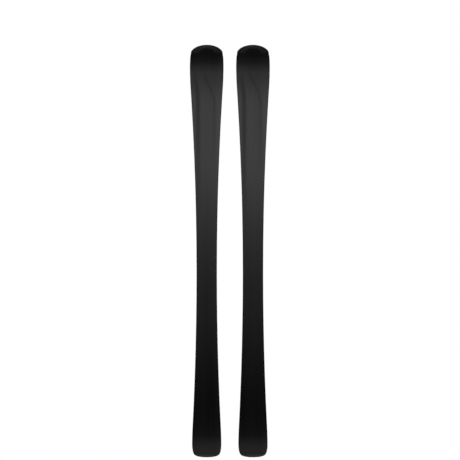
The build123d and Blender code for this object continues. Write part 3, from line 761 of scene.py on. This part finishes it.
def laid_on(name, rows, finish, thick, bevel):
    """A strip laid on the top sheet: rows are (y, left, right)."""
    high = 150.0  # above everything, before it is dropped onto the sheet
    strip_piece = fit_rings(name, [(y, left, right, high, high + 1) for y, left, right in rows])
    pick(strip_piece, lambda x, y, z, n: n.z < 0.9 and z < high + 0.99)
    bpy.ops.mesh.delete(type="FACE")
    modify(
        strip_piece, "SHRINKWRAP", target=frame["nodes"]["left_top_sheet"], wrap_method="PROJECT", use_project_z=True,
        use_negative_direction=True, use_positive_direction=False, project_limit=0.3,
    )
    edit(strip_piece)
    bpy.ops.mesh.select_all(action="SELECT")
    shift(z=-0.1)  # sits a little into the sheet
    bpy.ops.mesh.extrude_region_move(TRANSFORM_OT_translate={"value": (0, 0, thick / 1000)})
    finish_piece(strip_piece, finish, "ski", bevel=bevel, segments=2)


def spaced(start, end, step):
    count = max(2, round(abs(end - start) / step) + 1)
    return [start + (end - start) * i / (count - 1) for i in range(count)]


def bead(start, end, side, near, lean, half=1.3):
    """Rows of a raised line that tapers to a point at both ends."""
    rows = []
    for y in spaced(start, end, 22):
        taper = min(1.0, 0.12 + min(abs(y - start), abs(y - end)) / 70)
        middle = side * (near + (y - start) * lean)
        rows.append((y, middle - half * taper, middle + half * taper))
    return rows


for side, word in SIDES:
    laid_on(f"fore_bead_{word}", bead(190, 650, side, 20.0, 0.032), accent, 0.7, bevel=0.12)
    laid_on(f"fore_line_{word}", bead(260, 600, side, 15.5, 0.030, half=0.7), accent, 0.5, bevel=0.1)
    laid_on(f"aft_bead_{word}", bead(-716, -372, side, 29.5, -0.028), accent, 0.7, bevel=0.12)
    laid_on(f"aft_line_{word}", bead(-650, -410, side, 22.0, -0.026, half=0.7), accent, 0.5, bevel=0.1)


# ------------------------------------------------------------------ floor and light
def clear_from_behind(tree, front):
    """Shows a shader on the front of a surface and nothing on its back."""
    clear = node(tree, "ShaderNodeBsdfTransparent").outputs[0]
    back = node(tree, "ShaderNodeNewGeometry").outputs["Backfacing"]
    either = node(tree, "ShaderNodeMixShader", {0: back, 1: front, 2: clear})
    tree.links.new(either.outputs[0], tree.nodes["Material Output"].inputs["Surface"])


bpy.ops.object.select_all(action="DESELECT")
bpy.ops.mesh.primitive_plane_add(size=30, location=(0, 0, -0.0006))
floor = bpy.context.object
floor.name = "floor"
floor_mat = bpy.data.materials.new("floor")
floor_mat.use_nodes = True
paper = floor_mat.node_tree.nodes["Principled BSDF"]
paper.inputs["Base Color"].default_value = (0.62, 0.62, 0.62, 1)
paper.inputs["Emission Color"].default_value = (1, 1, 1, 1)
paper.inputs["Emission Strength"].default_value = 0.42
paper.inputs["Roughness"].default_value = 0.9
clear_from_behind(floor_mat.node_tree, paper.outputs[0])
floor.data.materials.append(floor_mat)
floor.visible_glossy = False
floor.visible_diffuse = False
floor.visible_shadow = False

# A long softbox under the bases, unseen by the camera. Its levels are listed below, and they give the bases their
# change of brightness along the skis.
REACH = 1.6  # metres from the softbox's middle to each end
SOFTBOX_DIM = 0.8  # scales every level
bpy.ops.object.select_all(action="DESELECT")
bpy.ops.mesh.primitive_plane_add(size=1, location=(0, 0, -0.6))
softbox = bpy.context.object
softbox.name = "under_softbox"
softbox.scale = (1.1, 2 * REACH, 1)
bpy.ops.object.transform_apply(location=True, rotation=True, scale=True)
softbox_mat = bpy.data.materials.new("under softbox")
softbox_mat.use_nodes = True
tree = softbox_mat.node_tree
tree.nodes.remove(tree.nodes["Principled BSDF"])
place = node(tree, "ShaderNodeTexCoord").outputs["Object"]
along = node(tree, "ShaderNodeSeparateXYZ", {0: place}).outputs[1]
ramp = node(tree, "ShaderNodeValToRGB", {0: spread(tree, along, -REACH, REACH)})
steps = [
    (-1.6, 0.10), (-1.2, 0.34), (-0.98, 0.54), (-0.86, 0.46), (-0.74, 0.05), (-0.62, 0.06), (-0.45, 0.15), (-0.3, 0.3),
    (-0.1, 0.43), (0.08, 0.74), (0.22, 1.1), (0.28, 1.32), (0.36, 1.44), (0.6, 1.47), (0.76, 0.85), (1.0, 0.42),
    (1.2, 0.18), (1.6, 0.1),
]
bar = ramp.color_ramp
while len(bar.elements) > 1:
    bar.elements.remove(bar.elements[-1])
for i, (y, level) in enumerate(steps):
    at = (y + REACH) / (2 * REACH)
    stop = bar.elements[0] if i == 0 else bar.elements.new(at)
    stop.position = at
    stop.color = (level * SOFTBOX_DIM, level * SOFTBOX_DIM, level * SOFTBOX_DIM, 1)
glow = node(tree, "ShaderNodeEmission", {"Color": ramp.outputs["Color"], "Strength": 1.05})
clear_from_behind(tree, glow.outputs[0])
softbox.data.materials.append(softbox_mat)
softbox.visible_camera = False
softbox.visible_shadow = False

world = bpy.data.worlds.new("studio")
scene.world = world
world.use_nodes = True
tree = world.node_tree
backdrop = tree.nodes["Background"]
backdrop.inputs["Color"].default_value = (1, 1, 1, 1)
backdrop.inputs["Strength"].default_value = 1.0
sky = node(tree, "ShaderNodeTexCoord").outputs["Generated"]
up = node(tree, "ShaderNodeSeparateXYZ", {0: sky}).outputs[2]
level = spread(tree, up, -0.05, 0.5, 0.06, 0.7)
ambient = node(tree, "ShaderNodeBackground", {"Color": (1, 1, 1, 1), "Strength": level})
seen = node(tree, "ShaderNodeLightPath").outputs["Is Camera Ray"]
either = node(tree, "ShaderNodeMixShader", {0: seen, 1: ambient.outputs[0], 2: backdrop.outputs[0]})
tree.links.new(either.outputs[0], tree.nodes["World Output"].inputs["Surface"])


def soft_light(name, place, target, size, power):
    light = bpy.data.lights.new(name, "AREA")
    light.shape = "RECTANGLE"
    light.size, light.size_y = size
    light.energy = power
    lamp = bpy.data.objects.new(name, light)
    scene.collection.objects.link(lamp)
    lamp.location = place
    lamp.rotation_euler = (Vector(target) - Vector(place)).to_track_quat("-Z", "Y").to_euler()


soft_light("overhead", (0.6, 0.2, 2.4), (0, 0, 0), (1.6, 3.0), 42)
soft_light("front_left", (-2.2, -1.6, 1.6), (0, 0, 0.05), (1.2, 1.8), 26)
soft_light("rear_right", (2.0, 2.0, 1.2), (0, 0.1, 0.05), (0.8, 2.2), 24)
